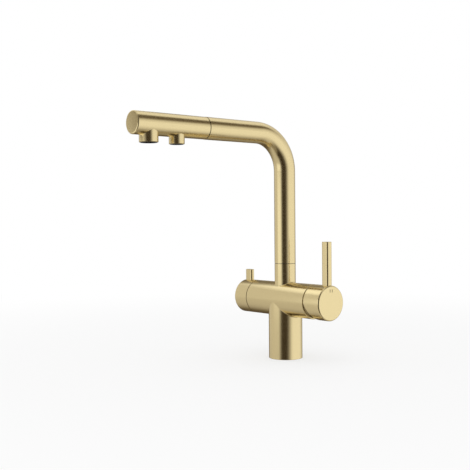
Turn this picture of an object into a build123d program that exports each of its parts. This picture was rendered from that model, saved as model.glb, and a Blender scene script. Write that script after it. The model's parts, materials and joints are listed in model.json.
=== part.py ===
from build123d import *
import os

os.makedirs("parts", exist_ok=True)

# A deck-mounted kitchen mixer tap with a third, filtered water way. Millimetres.
# +Z is up, +X points to the mixer handle, the spout points to -Y.
# The origin is the centre of the column's foot, on the worktop.

# Column, cross body and riser stub
body_diameter = 45.0
column_step = 0.2
body_axis_height = 78.2
body_left_reach = 54.5
body_right_reach = 55.9
stub_top = 125.5
cast_blend = 1.2
edge_break = 0.5

# Spout
tube_diameter = 28.0
tube_wall = 1.5
arm_height = 296.5
bend_radius = 48.5
arm_mouth_reach = 132.1
tube_edge = 0.3

# Underside of the casting
foot_wall = 3.1
foot_bore_depth = 30.0
seal_groove_rim = 0.8
seal_groove_width = 1.3
seal_groove_depth = 1.5
seal_clearance = 0.05
hose_passage_diameter = 16.8
port_circle_radius = 13.6
port_spread_angle = 42.0
port_bore = 7.0
port_depth = 10.0
waterway_bore = 5.4
stud_bore = 6.8
stud_bore_depth = 22.0

# Swivel between stub and spout
swivel_bore = 23.0
swivel_bore_floor_height = 90.0
swivel_fit = 0.08
washer_thickness = 0.6
washer_recess = 0.3
spigot_bore = 17.4
spigot_floor_gap = 2.0
spigot_plug_length = 15.0
ring_groove_width = 2.4
ring_groove_diameter = 19.8
ring_section = 1.55
lower_ring_height = 100.5
upper_ring_height = 118.5
slide_ring_length = 3.0
slide_ring_wall = 0.7
lower_slide_ring_height = 93.5
upper_slide_ring_height = 122.0
retaining_height = 109.0
retaining_groove_width = 3.8
retaining_groove_diameter = 20.2
swivel_half_range = 75.0
groove_side_margin = 10.0
retaining_screw_diameter = 5.0
retaining_nose_diameter = 3.2
retaining_nose_gap = 0.3

# Pull-out hose and the filtered-water hose inside it
hose_diameter = 14.0
hose_bore = 10.4
inner_hose_diameter = 7.0
inner_hose_bore = 5.0
hose_clearance = 0.05
hose_split_setback = 3.0
hose_split_gap = 0.5
hose_foot = 14.0
fitting_ferrule_wall = 1.5
fitting_ferrule_length = 14.0
fitting_hex = 15.0
fitting_hex_length = 8.0
fitting_thread = 12.8
fitting_thread_length = 5.5

# Docking of the head in the arm
collar_length = 18.0
collar_guide_bore = 15.2
collar_fit = 0.1
nose_length = 10.0
nose_diameter = 21.2
nose_clearance = 0.4
nose_plug_length = 10.0
nose_bore = 15.0

# Pull-out head
head_diameter = 27.6
head_bore = 24.6
head_seam = 1.0
head_tip_reach = 236.1
end_cap_thickness = 2.5
end_cap_plug_length = 3.5
end_cap_round = 1.6
outlet_drop = 21.8
outlet_foot_round = 0.5
main_outlet_setback = 22.7
main_outlet_diameter = 22.8
main_outlet_bore = 20.2
filter_outlet_setback = 62.4
filter_outlet_diameter = 19.0
filter_outlet_bore = 16.4
insert_clearance = 0.1
ferrule_gap = 0.5
insert_end_gap = 0.7
insert_pocket_drop = 11.3
head_ferrule_diameter = 18.0
head_ferrule_length = 7.8
mixed_way_offset = 6.3
mixed_way_bore = 4.8
mixed_drop_bore = 6.0
filter_way_bore = 4.4
filter_drop_bore = 5.0
inner_hose_socket_depth = 10.0
check_valve_length = 8.0
check_valve_bore = 3.0
outlet_lip_stand_out = 0.4
outlet_lip_wall = 1.2
outlet_screen_recess = 1.0
outlet_screen_thickness = 2.5
outlet_roof = 1.5
main_inlet_bore = 8.0
filter_inlet_bore = 5.0
main_screen_hole = 1.8
main_screen_pitch = 3.1
main_screen_rings = 2
filter_screen_hole = 2.0
filter_screen_pitch = 3.6

# Mixer cartridge, on the cross body's axis
cartridge_wall = 4.8
chamber_clearance = 0.2
chamber_depth = 28.9
cartridge_base_lift = 0.3
cartridge_base_thickness = 5.0
fixed_disc_clearance = 1.3
fixed_disc_thickness = 3.5
moving_disc_clearance = 2.5
moving_disc_thickness = 3.5
disc_chamber_wall = 1.3
disc_chamber_depth = 1.8
disc_chamber_offset = 2.5
disc_film = 0.05
carrier_plate_thickness = 2.6
carrier_boss_width = 10.4
carrier_boss_height = 14.0
carrier_boss_length = 4.8
drive_lug_width = 3.0
drive_lug_height = 10.0
drive_lug_play = 0.15
drive_lug_end_gap = 0.6
port_seal_outer = 8.4
port_seal_inner = 5.4
port_seal_thickness = 1.6
cartridge_port_bore = 5.0
inlet_port_inset = 4.9
inlet_port_rise = 3.0
outlet_port_inset = 6.0
cartridge_housing_wall = 2.2
cartridge_shoulder_setback = 4.9
shoulder_thickness = 2.0
neck_diameter = 23.0
neck_length = 4.6
guide_plate_clearance = 0.3
guide_plate_thickness = 2.8
guide_plate_play = 0.4
guide_sleeve_diameter = 17.8
guide_sleeve_overlap = 0.8
guide_slot_width = 8.6
guide_slot_height = 11.2
pin_diameter = 3.0
pin_fit = 0.05
pin_length = 17.0

# Mixer handle, which tilts about the pin
pivot_setback = 1.9
tilt_range = 25.0
tilt_cut_margin = 2.0
stem_square = 8.0
stem_inner_end = -3.0
stem_face_setback = 4.4
stem_leg_diameter = 5.0
stem_ball_diameter = 6.0
stem_ball_reach = 8.5
stem_ball_clearance = 0.15
dome_step = 1.3
dome_wall = 1.4
dome_opening_setback = 6.2
nut_thread_wall = 3.5
nut_thread_clearance = 0.1
nut_hole_clearance = 0.3
nut_hex_step = 6.5
nut_hex_stand_out = 2.1
handle_gap = 1.5
handle_face_wall = 9.35
handle_face_round = 2.2
handle_dome_clearance = 0.35
handle_boss_diameter = 14.4
handle_boss_start = 12.0
stem_socket_clearance = 0.05
stem_socket_end_gap = 0.5
set_screw_diameter = 4.9
set_screw_clearance = 0.05
set_screw_length = 8.0
set_screw_hex = 2.5
set_screw_hex_depth = 3.0

# Mixer lever
lever_face_setback = 7.25
lever_width = 11.2
lever_depth = 8.8
lever_corner = 2.7
lever_top = 155.4
lever_end_round = 0.6
lever_stud_diameter = 6.0
lever_stud_start = 12.3
lever_stud_clearance = 0.05

# Filter valve headwork, on the other end of the cross body
filter_chamber_depth = 22.5
seat_pocket_diameter = 13.6
seat_seal_outer = 13.4
seat_seal_inner = 7.2
seat_seal_length = 4.2
headwork_diameter = 18.2
headwork_chamber_diameter = 18.6
headwork_thread_diameter = 20.8
headwork_thread_length = 8.5
thread_clearance = 0.08
headwork_wall_end = 1.5
headwork_cavity_diameter = 14.4
headwork_cavity_length = 8.3
headwork_hex = 22.0
headwork_hex_length = 5.0
headwork_neck_diameter = 14.0
headwork_neck_length = 5.0
headwork_window = 3.6
filter_turn = 90.0
filter_disc_thickness = 2.5
filter_disc_clearance = 0.1
spindle_diameter = 8.0
spindle_fit = 0.08
spindle_flange_diameter = 13.8
spindle_flange_thickness = 2.6
spindle_end_setback = 4.5
filter_out_bore = 4.0
filter_out_side = 9.6

# Filter knob and its lever
knob_gap = 0.7
knob_cavity_gap = 1.5
knob_end_round = 0.8
knob_wall = 2.2
knob_end_wall = 13.6
knob_bore_clearance = 0.05
knob_bore_extra = 0.5
knob_screw_diameter = 4.0
knob_screw_length = 6.0
knob_screw_setback = 8.0
knob_screw_hex = 2.0
knob_screw_hex_depth = 2.5
filter_lever_width = 13.2
filter_lever_depth = 6.4
filter_lever_corner = 2.8
filter_lever_top = 115.1
filter_lever_stud_diameter = 4.0
filter_lever_stud_start = 8.0

# Derived sizes
column_diameter = body_diameter - 2 * column_step
foot_bore_diameter = column_diameter - 2 * foot_wall
seal_groove_outer = column_diameter - 2 * seal_groove_rim
seal_groove_inner = seal_groove_outer - 2 * seal_groove_width
cartridge_diameter = body_diameter - 2 * (cartridge_wall + chamber_clearance)
cartridge_cavity_diameter = cartridge_diameter - 2 * cartridge_housing_wall
fixed_disc_diameter = cartridge_cavity_diameter - 2 * fixed_disc_clearance
moving_disc_diameter = cartridge_cavity_diameter - 2 * moving_disc_clearance
disc_chamber_diameter = moving_disc_diameter - 2 * (disc_chamber_offset + disc_chamber_wall)
guide_plate_diameter = cartridge_cavity_diameter - 2 * guide_plate_clearance
nut_thread_diameter = body_diameter - 2 * nut_thread_wall
nut_hex = body_diameter - 2 * nut_hex_step
dome_radius = body_diameter / 2 - dome_step
knob_cavity_diameter = body_diameter - 2 * knob_wall

# Derived places
axis_z = body_axis_height
chamber_floor = body_right_reach - chamber_depth
cartridge_shoulder = body_right_reach - cartridge_shoulder_setback
inlet_port_side = fixed_disc_diameter / 2 - inlet_port_inset
outlet_port_drop = fixed_disc_diameter / 2 - outlet_port_inset
pivot_reach = body_right_reach - pivot_setback
dome_opening_reach = pivot_reach + dome_radius - dome_opening_setback
filter_chamber_floor = body_left_reach - filter_chamber_depth
ring_heights = (lower_ring_height, upper_ring_height)
slide_ring_heights = (lower_slide_ring_height, upper_slide_ring_height)
handle_face_reach = pivot_reach + dome_radius + handle_dome_clearance + handle_face_wall
lever_centre_reach = handle_face_reach - lever_face_setback
stem_outer_end = handle_face_reach - stem_face_setback - pivot_reach
headwork_hex_end = body_left_reach + headwork_hex_length
headwork_end = headwork_hex_end + headwork_neck_length
knob_cavity_floor = headwork_end + knob_cavity_gap
knob_end_reach = knob_cavity_floor + knob_end_wall
filter_lever_centre_reach = knob_end_reach - filter_lever_width / 2
spindle_end_reach = knob_end_reach - spindle_end_setback
knob_screw_reach = knob_end_reach - knob_screw_setback
hose_split_reach = bend_radius + hose_split_setback
head_start = arm_mouth_reach + head_seam
cap_start = head_tip_reach - end_cap_thickness
outlet_foot_height = arm_height - outlet_drop
insert_pocket_top = arm_height - insert_pocket_drop
main_outlet_reach = head_tip_reach - main_outlet_setback
filter_outlet_reach = head_tip_reach - filter_outlet_setback
insert_start_reach = head_start + nose_plug_length + ferrule_gap + head_ferrule_length
tube_foot = stub_top + washer_thickness
tube_bore = tube_diameter - 2 * tube_wall
cartridge_base_start = chamber_floor + cartridge_base_lift
fixed_disc_start = cartridge_base_start + cartridge_base_thickness
moving_disc_start = fixed_disc_start + fixed_disc_thickness + disc_film
carrier_start = moving_disc_start + moving_disc_thickness
nut_start = cartridge_shoulder + shoulder_thickness
spigot_foot = swivel_bore_floor_height + spigot_floor_gap
headwork_start = filter_chamber_floor + seat_seal_length
port_places = [
    (port_circle_radius, 0.0),
    (-port_circle_radius, 0.0),
]
for side in (1, -1):
    spread = Vector(port_circle_radius, 0, 0).rotate(Axis.Z, side * port_spread_angle)
    port_places.append((spread.X, spread.Y))
mirrored = Vector(-port_circle_radius, 0, 0).rotate(Axis.Z, -port_spread_angle)
port_places.append((mirrored.X, mirrored.Y))
stud_place = (0.0, port_circle_radius)


def facing_right(reach):
    """Plane across the cross body's axis at +X reach, seen from the handle."""
    return Plane(origin=(reach, 0, axis_z), x_dir=(0, 1, 0), z_dir=(1, 0, 0))


def facing_left(reach):
    """Plane across the cross body's axis at -X reach, seen from the filter knob."""
    return Plane(origin=(-reach, 0, axis_z), x_dir=(0, -1, 0), z_dir=(-1, 0, 0))


def facing_front(reach):
    """Plane across the arm's axis at -Y reach, seen from the head's tip."""
    return Plane(origin=(0, -reach, arm_height), x_dir=(1, 0, 0), z_dir=(0, -1, 0))


def across_pin():
    """Upright plane through the handle's pivot, square to its pin."""
    return Plane(origin=(pivot_reach, 0, axis_z), x_dir=(1, 0, 0), z_dir=(0, -1, 0))


def facing_back(reach, height):
    """Upright plane at +Y reach, seen from behind the tap."""
    return Plane(origin=(0, reach, height), x_dir=(-1, 0, 0), z_dir=(0, 1, 0))


def save(piece, name):
    piece.part.label = name
    export_step(piece.part, "parts/" + name + ".step")


# Cast body: column, cross body and riser stub in one piece, with its bores and drilled waterways
with BuildPart() as tap_body:
    with BuildSketch(Plane.XY):
        Circle(column_diameter / 2)
    extrude(amount=axis_z)
    with BuildSketch(facing_left(body_left_reach)):
        Circle(body_diameter / 2)
    extrude(amount=-(body_left_reach + body_right_reach))
    with BuildSketch(Plane.XY.offset(axis_z)):
        Circle(tube_diameter / 2)
    extrude(amount=stub_top - axis_z)
    crotches = tap_body.edges().filter_by(lambda e: e.geom_type not in (GeomType.CIRCLE, GeomType.LINE))
    fillet(crotches, radius=cast_blend)
    rims = tap_body.edges().filter_by(GeomType.CIRCLE)
    fillet(rims.filter_by(lambda e: abs(e.radius - body_diameter / 2) < 0.01), radius=edge_break)
    foot_rim = tap_body.edges().filter_by(GeomType.CIRCLE).sort_by(Axis.Z)[0]
    fillet(foot_rim, radius=edge_break)
    # foot recess, seal groove, hose passage, swivel bore
    with BuildSketch(Plane.XY):
        Circle(foot_bore_diameter / 2)
    extrude(amount=foot_bore_depth, mode=Mode.SUBTRACT)
    with BuildSketch(Plane.XY):
        Circle(seal_groove_outer / 2)
        Circle(seal_groove_inner / 2, mode=Mode.SUBTRACT)
    extrude(amount=seal_groove_depth, mode=Mode.SUBTRACT)
    with BuildSketch(Plane.XY):
        Circle(hose_passage_diameter / 2)
    extrude(amount=swivel_bore_floor_height, mode=Mode.SUBTRACT)
    with BuildSketch(Plane.XY.offset(swivel_bore_floor_height)):
        Circle(swivel_bore / 2)
    extrude(amount=stub_top - swivel_bore_floor_height, mode=Mode.SUBTRACT)
    # hose ports in the recess roof, and the fixing stud's hole
    with BuildSketch(Plane.XY.offset(foot_bore_depth)):
        with Locations(*port_places):
            Circle(port_bore / 2)
    extrude(amount=port_depth, mode=Mode.SUBTRACT)
    with BuildSketch(Plane.XY.offset(foot_bore_depth)):
        with Locations(stud_place):
            Circle(stud_bore / 2)
    extrude(amount=stud_bore_depth, mode=Mode.SUBTRACT)
    # cartridge chamber and nut thread
    with BuildSketch(facing_right(chamber_floor)):
        Circle(cartridge_diameter / 2 + chamber_clearance)
    extrude(amount=body_right_reach - chamber_floor, mode=Mode.SUBTRACT)
    with BuildSketch(facing_right(nut_start)):
        Circle(nut_thread_diameter / 2)
    extrude(amount=body_right_reach - nut_start, mode=Mode.SUBTRACT)
    # filter headwork chamber, seat pocket and thread
    with BuildSketch(facing_left(filter_chamber_floor)):
        Circle(seat_pocket_diameter / 2)
    extrude(amount=seat_seal_length, mode=Mode.SUBTRACT)
    with BuildSketch(facing_left(headwork_start)):
        Circle(headwork_chamber_diameter / 2)
    extrude(amount=body_left_reach - headwork_start, mode=Mode.SUBTRACT)
    with BuildSketch(facing_left(body_left_reach - headwork_thread_length)):
        Circle(headwork_thread_diameter / 2 + thread_clearance)
    extrude(amount=headwork_thread_length, mode=Mode.SUBTRACT)
    # waterways: vertical drillings from the ports, level drillings to the chambers
    way_tops = {0: -outlet_port_drop, 1: 0.0, 2: inlet_port_rise, 3: inlet_port_rise, 4: 0.0}
    for index, rise in way_tops.items():
        with BuildSketch(Plane.XY.offset(foot_bore_depth + port_depth)):
            with Locations(port_places[index]):
                Circle(waterway_bore / 2)
        extrude(amount=axis_z + rise - foot_bore_depth - port_depth, mode=Mode.SUBTRACT)
    with BuildSketch(facing_right(chamber_floor)):
        with Locations((0, -outlet_port_drop)):
            Circle(cartridge_port_bore / 2)
    extrude(amount=port_circle_radius - chamber_floor, mode=Mode.SUBTRACT)
    with BuildSketch(facing_right(chamber_floor)):
        with Locations((inlet_port_side, inlet_port_rise), (-inlet_port_side, inlet_port_rise)):
            Circle(cartridge_port_bore / 2)
    extrude(amount=port_places[2][0] - chamber_floor, mode=Mode.SUBTRACT)
    with BuildSketch(facing_left(filter_chamber_floor)):
        Circle(cartridge_port_bore / 2)
    extrude(amount=port_circle_radius - filter_chamber_floor, mode=Mode.SUBTRACT)
    with BuildSketch(facing_left(headwork_start + headwork_cavity_length / 2)):
        with Locations((-filter_out_side, 0)):
            Circle(filter_out_bore / 2)
    extrude(amount=-(headwork_start + headwork_cavity_length / 2 + port_places[4][0]), mode=Mode.SUBTRACT)
    # hole for the spout's retaining screw, at the back of the stub
    with BuildSketch(facing_back(0, retaining_height)):
        Circle(retaining_screw_diameter / 2)
    extrude(amount=tube_diameter, mode=Mode.SUBTRACT)
save(tap_body, "tap_body")

with BuildPart() as base_seal:
    with BuildSketch(Plane.XY):
        Circle(seal_groove_outer / 2 - seal_clearance)
        Circle(seal_groove_inner / 2 + seal_clearance, mode=Mode.SUBTRACT)
    extrude(amount=seal_groove_depth)
save(base_seal, "base_seal")

# Washer in the swivel seam, and the screw that keeps the spout in the stub
with BuildPart() as swivel_washer:
    with BuildSketch(Plane.XY.offset(stub_top)):
        Circle(tube_diameter / 2 - washer_recess)
        Circle(swivel_bore / 2, mode=Mode.SUBTRACT)
    extrude(amount=washer_thickness)
save(swivel_washer, "swivel_washer")

with BuildPart() as spout_retaining_screw:
    with BuildSketch(facing_back(swivel_bore / 2, retaining_height)):
        Circle(retaining_screw_diameter / 2 - set_screw_clearance)
    extrude(amount=tube_diameter / 2 - swivel_bore / 2 - edge_break)
    nose_start = retaining_groove_diameter / 2 + retaining_nose_gap
    with BuildSketch(facing_back(nose_start, retaining_height)):
        Circle(retaining_nose_diameter / 2)
    extrude(amount=swivel_bore / 2 - nose_start)
save(spout_retaining_screw, "spout_retaining_screw")


# Mixer cartridge, from the chamber's floor outwards
cartridge_ports = [
    (0, -outlet_port_drop),
    (inlet_port_side, inlet_port_rise),
    (-inlet_port_side, inlet_port_rise),
]
with BuildPart() as cartridge_base:
    with BuildSketch(facing_right(cartridge_base_start)):
        Circle(cartridge_diameter / 2)
        with Locations(*cartridge_ports):
            Circle(cartridge_port_bore / 2, mode=Mode.SUBTRACT)
    extrude(amount=cartridge_base_thickness)
    with BuildSketch(facing_right(cartridge_base_start)):
        with Locations(*cartridge_ports):
            Circle(port_seal_outer / 2 + seal_clearance)
    extrude(amount=port_seal_thickness - cartridge_base_lift, mode=Mode.SUBTRACT)
save(cartridge_base, "cartridge_base")

with BuildPart() as cartridge_port_seals:
    with BuildSketch(facing_right(chamber_floor)):
        with Locations(*cartridge_ports):
            Circle(port_seal_outer / 2)
            Circle(port_seal_inner / 2, mode=Mode.SUBTRACT)
    extrude(amount=port_seal_thickness)
save(cartridge_port_seals, "cartridge_port_seals")

with BuildPart() as cartridge_fixed_disc:
    with BuildSketch(facing_right(fixed_disc_start)):
        Circle(fixed_disc_diameter / 2)
        with Locations(*cartridge_ports):
            Circle(cartridge_port_bore / 2, mode=Mode.SUBTRACT)
    extrude(amount=fixed_disc_thickness)
save(cartridge_fixed_disc, "cartridge_fixed_disc")

with BuildPart() as cartridge_housing:
    with BuildSketch(facing_right(fixed_disc_start)):
        Circle(cartridge_diameter / 2)
    extrude(amount=nut_start - fixed_disc_start)
    with BuildSketch(facing_right(nut_start)):
        Circle(neck_diameter / 2)
    extrude(amount=neck_length)
    with BuildSketch(facing_right(fixed_disc_start)):
        Circle(cartridge_cavity_diameter / 2)
    extrude(amount=cartridge_shoulder - fixed_disc_start, mode=Mode.SUBTRACT)
    with BuildSketch(facing_right(cartridge_shoulder)):
        Circle(guide_sleeve_diameter / 2 + swivel_fit)
    extrude(amount=shoulder_thickness + neck_length, mode=Mode.SUBTRACT)
save(cartridge_housing, "cartridge_housing")

with BuildPart() as cartridge_nut:
    with BuildSketch(facing_right(nut_start)):
        Circle(nut_thread_diameter / 2 - nut_thread_clearance)
    extrude(amount=body_right_reach - nut_start)
    with BuildSketch(facing_right(body_right_reach)):
        RegularPolygon(nut_hex / 2, 6, major_radius=False)
    extrude(amount=nut_hex_stand_out)
    with BuildSketch(facing_right(nut_start)):
        Circle(neck_diameter / 2 + nut_hole_clearance)
    extrude(amount=body_right_reach + nut_hex_stand_out - nut_start, mode=Mode.SUBTRACT)
save(cartridge_nut, "cartridge_nut")

# Dome that covers the nut, concentric with the handle's pivot
with BuildPart() as cartridge_dome:
    with BuildSketch(Plane.XZ) as dome_section:
        with Locations((pivot_reach, axis_z)):
            Circle(dome_radius)
            Circle(dome_radius - dome_wall, mode=Mode.SUBTRACT)
        with BuildLine():
            Polyline(
                (body_right_reach, axis_z),
                (dome_opening_reach, axis_z),
                (dome_opening_reach, axis_z + body_diameter),
                (body_right_reach, axis_z + body_diameter),
                close=True,
            )
        make_face(mode=Mode.INTERSECT)
    revolve(axis=Axis((0, 0, axis_z), (1, 0, 0)))
save(cartridge_dome, "cartridge_dome")

# Lever guide: turns in the housing's neck and carries the pin that the stem tilts on
guide_plate_start = cartridge_shoulder - guide_plate_play - guide_plate_thickness
guide_sleeve_start = guide_plate_start + guide_plate_thickness
guide_sleeve_end = nut_start + neck_length + guide_sleeve_overlap
with BuildPart() as lever_guide:
    with BuildSketch(facing_right(guide_plate_start)):
        Circle(guide_plate_diameter / 2)
    extrude(amount=guide_plate_thickness)
    with BuildSketch(facing_right(guide_sleeve_start)):
        Circle(guide_sleeve_diameter / 2)
    extrude(amount=guide_sleeve_end - guide_sleeve_start)
    with BuildSketch(facing_right(guide_plate_start)):
        Rectangle(guide_slot_width, guide_slot_height)
    extrude(amount=guide_sleeve_end - guide_plate_start, mode=Mode.SUBTRACT)
    # two lugs straddle the disc carrier's boss, so that the discs turn with the guide
    lug_side = (carrier_boss_width + drive_lug_width) / 2 + drive_lug_play
    with BuildSketch(facing_right(carrier_start + carrier_plate_thickness + drive_lug_end_gap)):
        with Locations((lug_side, 0), (-lug_side, 0)):
            Rectangle(drive_lug_width, drive_lug_height)
    extrude(until=Until.NEXT)
    with BuildSketch(across_pin()):
        Circle(pin_diameter / 2)
    extrude(amount=guide_sleeve_diameter, both=True, mode=Mode.SUBTRACT)
save(lever_guide, "lever_guide")

with BuildPart() as lever_pin:
    with BuildSketch(across_pin()):
        Circle(pin_diameter / 2 - pin_fit)
    extrude(amount=pin_length / 2, both=True)
save(lever_pin, "lever_pin")

# Stem, drawn along its own axis, which points up by half the tilt range when the water is off
rest_tilt = tilt_range / 2
stem_direction = Vector(1, 0, 0).rotate(Axis.Y, -rest_tilt)


def along_stem(distance):
    """Plane across the stem's axis, at a distance from the pivot."""
    origin = Vector(pivot_reach, 0, axis_z) + stem_direction * distance
    return Plane(origin=origin, x_dir=(0, 1, 0), z_dir=stem_direction)


stem_slope = stem_direction.Z / stem_direction.X
stem_height_at_screw = axis_z + (lever_centre_reach - pivot_reach) * stem_slope
ball_centre = Vector(pivot_reach, 0, axis_z) - stem_direction * stem_ball_reach
disc_offset = ball_centre.Z - axis_z

with BuildPart() as mixer_stem:
    with BuildSketch(along_stem(stem_inner_end)):
        Rectangle(stem_square, stem_square)
    extrude(amount=stem_outer_end - stem_inner_end)
    with BuildSketch(along_stem(-stem_ball_reach)):
        Circle(stem_leg_diameter / 2)
    extrude(amount=stem_ball_reach + stem_inner_end)
    with Locations(ball_centre):
        Sphere(stem_ball_diameter / 2)
    with BuildSketch(across_pin()):
        Circle(pin_diameter / 2 + pin_fit)
    extrude(amount=stem_square, both=True, mode=Mode.SUBTRACT)
save(mixer_stem, "mixer_stem")

# Disc carrier and moving disc: pushed up and down by the stem's ball, turned with the guide
with BuildPart() as disc_carrier:
    with BuildSketch(facing_right(carrier_start)):
        with Locations((0, disc_offset)):
            Circle(moving_disc_diameter / 2)
    extrude(amount=carrier_plate_thickness)
    with BuildSketch(facing_right(carrier_start + carrier_plate_thickness)):
        with Locations((0, disc_offset)):
            Rectangle(carrier_boss_width, carrier_boss_height)
    extrude(amount=carrier_boss_length)
    with BuildSketch(facing_right(carrier_start + carrier_plate_thickness)):
        with Locations((0, disc_offset)):
            Circle(stem_ball_diameter / 2 + stem_ball_clearance)
    extrude(amount=carrier_boss_length, mode=Mode.SUBTRACT)
save(disc_carrier, "disc_carrier")

with BuildPart() as cartridge_moving_disc:
    with BuildSketch(facing_right(moving_disc_start)):
        with Locations((0, disc_offset)):
            Circle(moving_disc_diameter / 2)
    extrude(amount=moving_disc_thickness)
    with BuildSketch(facing_right(moving_disc_start)):
        with Locations((0, disc_offset - disc_chamber_offset)):
            Circle(disc_chamber_diameter / 2)
    extrude(amount=disc_chamber_depth, mode=Mode.SUBTRACT)
save(cartridge_moving_disc, "cartridge_moving_disc")

# Handle drum: a turned cap that swings over the dome; its rear rim is cut obliquely below the axis
handle_rear = body_right_reach + handle_gap
with BuildPart() as mixer_handle:
    with BuildSketch(facing_right(handle_rear)):
        Circle(body_diameter / 2)
    extrude(amount=handle_face_reach - handle_rear)
    fillet(mixer_handle.faces().sort_by(Axis.X)[-1].edges(), radius=handle_face_round)
    with BuildSketch(Plane.XZ):
        with BuildLine():
            Polyline(
                (handle_rear, axis_z),
                (handle_rear - body_diameter, axis_z),
                (handle_rear - body_diameter, axis_z - body_diameter),
                close=True,
            )
        make_face()
        with BuildLine():
            cut_line = PolarLine((handle_rear, axis_z), body_diameter, angle=-90 + tilt_range + tilt_cut_margin)
            Line(cut_line @ 1, (handle_rear - body_diameter, axis_z - body_diameter))
            Line((handle_rear - body_diameter, axis_z - body_diameter), (handle_rear, axis_z))
        make_face()
    extrude(amount=body_diameter, both=True, mode=Mode.SUBTRACT)
    with Locations((pivot_reach, 0, axis_z)):
        Sphere(dome_radius + handle_dome_clearance, mode=Mode.SUBTRACT)
    with BuildSketch(along_stem(handle_boss_start)):
        Circle(handle_boss_diameter / 2)
    extrude(amount=stem_outer_end - handle_boss_start)
    with BuildSketch(along_stem(handle_boss_start)):
        Rectangle(stem_square + 2 * stem_socket_clearance, stem_square + 2 * stem_socket_clearance)
    extrude(amount=stem_outer_end + stem_socket_end_gap - handle_boss_start, mode=Mode.SUBTRACT)
    # screwed seat of the lever above, hole of the set screw below
    with BuildSketch(Plane.XY.offset(axis_z + lever_stud_start)):
        with Locations((lever_centre_reach, 0)):
            Circle(lever_stud_diameter / 2 + lever_stud_clearance)
    extrude(amount=body_diameter, mode=Mode.SUBTRACT)
    with BuildSketch(Plane.XY.offset(stem_height_at_screw)):
        with Locations((lever_centre_reach, 0)):
            Circle(set_screw_diameter / 2 + set_screw_clearance)
    extrude(amount=-body_diameter, mode=Mode.SUBTRACT)
save(mixer_handle, "mixer_handle")

with BuildPart() as mixer_lever:
    with BuildSketch(Plane.XY.offset(axis_z)):
        with Locations((lever_centre_reach, 0)):
            RectangleRounded(lever_width, lever_depth, lever_corner)
    extrude(amount=lever_top - axis_z)
    fillet(mixer_lever.faces().sort_by(Axis.Z)[-1].edges(), radius=lever_end_round)
    with BuildSketch(facing_right(0)):
        Circle(body_diameter / 2)
    extrude(amount=handle_face_reach, mode=Mode.SUBTRACT)
    with BuildSketch(Plane.XY.offset(axis_z + lever_stud_start)):
        with Locations((lever_centre_reach, 0)):
            Circle(lever_stud_diameter / 2)
    extrude(amount=body_diameter / 2 - lever_stud_start + lever_end_round)
save(mixer_lever, "mixer_lever")


def set_screw(reach, top, diameter, length, hex_size, hex_depth):
    """Cup-point set screw standing upright, its hexagon socket at the bottom."""
    with BuildPart() as screw:
        with BuildSketch(Plane.XY.offset(top)):
            with Locations((reach, 0)):
                Circle(diameter / 2)
        extrude(amount=-length)
        with BuildSketch(Plane.XY.offset(top - length)):
            with Locations((reach, 0)):
                RegularPolygon(hex_size / 2, 6, major_radius=False)
        extrude(amount=hex_depth, mode=Mode.SUBTRACT)
    return screw


screw_edge_rise = (set_screw_diameter * stem_direction.Z + stem_square) / 2 / stem_direction.X
screw_top = stem_height_at_screw - screw_edge_rise - set_screw_clearance
mixer_set_screw = set_screw(
    lever_centre_reach, screw_top, set_screw_diameter, set_screw_length, set_screw_hex, set_screw_hex_depth
)
save(mixer_set_screw, "mixer_set_screw")


# Filter headwork: a quarter-turn ceramic valve screwed into the left end
with BuildPart() as filter_seat_seal:
    with BuildSketch(facing_left(filter_chamber_floor)):
        Circle(seat_seal_outer / 2)
        Circle(seat_seal_inner / 2, mode=Mode.SUBTRACT)
    extrude(amount=seat_seal_length)
save(filter_seat_seal, "filter_seat_seal")

headwork_thread_start = body_left_reach - headwork_thread_length
cavity_start = headwork_start + headwork_wall_end
cavity_end = cavity_start + headwork_cavity_length
with BuildPart() as filter_headwork:
    with BuildSketch(facing_left(headwork_start)):
        Circle(headwork_diameter / 2)
    extrude(amount=headwork_thread_start - headwork_start)
    with BuildSketch(facing_left(headwork_thread_start)):
        Circle(headwork_thread_diameter / 2)
    extrude(amount=headwork_thread_length)
    with BuildSketch(facing_left(body_left_reach)):
        RegularPolygon(headwork_hex / 2, 6, major_radius=False)
    extrude(amount=headwork_hex_length)
    with BuildSketch(facing_left(headwork_hex_end)):
        Circle(headwork_neck_diameter / 2)
    extrude(amount=headwork_neck_length)
    with BuildSketch(facing_left(headwork_start)):
        Circle(seat_seal_inner / 2)
    extrude(amount=headwork_wall_end, mode=Mode.SUBTRACT)
    with BuildSketch(facing_left(cavity_start)):
        Circle(headwork_cavity_diameter / 2)
    extrude(amount=headwork_cavity_length, mode=Mode.SUBTRACT)
    with BuildSketch(facing_left(cavity_end)):
        Circle(spindle_diameter / 2 + spindle_fit)
    extrude(amount=headwork_end - cavity_end, mode=Mode.SUBTRACT)
    window_reach = cavity_start + filter_disc_thickness + filter_disc_thickness / 2
    with BuildSketch(Plane(origin=(-window_reach, 0, axis_z), x_dir=(1, 0, 0), z_dir=(0, 1, 0))):
        Circle(headwork_window / 2)
    extrude(amount=headwork_diameter, both=True, mode=Mode.SUBTRACT)
save(filter_headwork, "filter_headwork")


def filter_disc(start, turn):
    """Ceramic disc with two openings, side by side at the given turn about its axis."""
    with BuildPart() as disc:
        with BuildSketch(facing_left(start)):
            Circle(headwork_cavity_diameter / 2 - filter_disc_clearance)
            with PolarLocations(headwork_cavity_diameter / 4, 2, start_angle=turn):
                Circle(headwork_window / 2, mode=Mode.SUBTRACT)
        extrude(amount=filter_disc_thickness)
    return disc


filter_fixed_disc = filter_disc(cavity_start, 0)
save(filter_fixed_disc, "filter_fixed_disc")
filter_moving_disc = filter_disc(cavity_start + filter_disc_thickness + disc_film, filter_turn)
save(filter_moving_disc, "filter_moving_disc")

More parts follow.
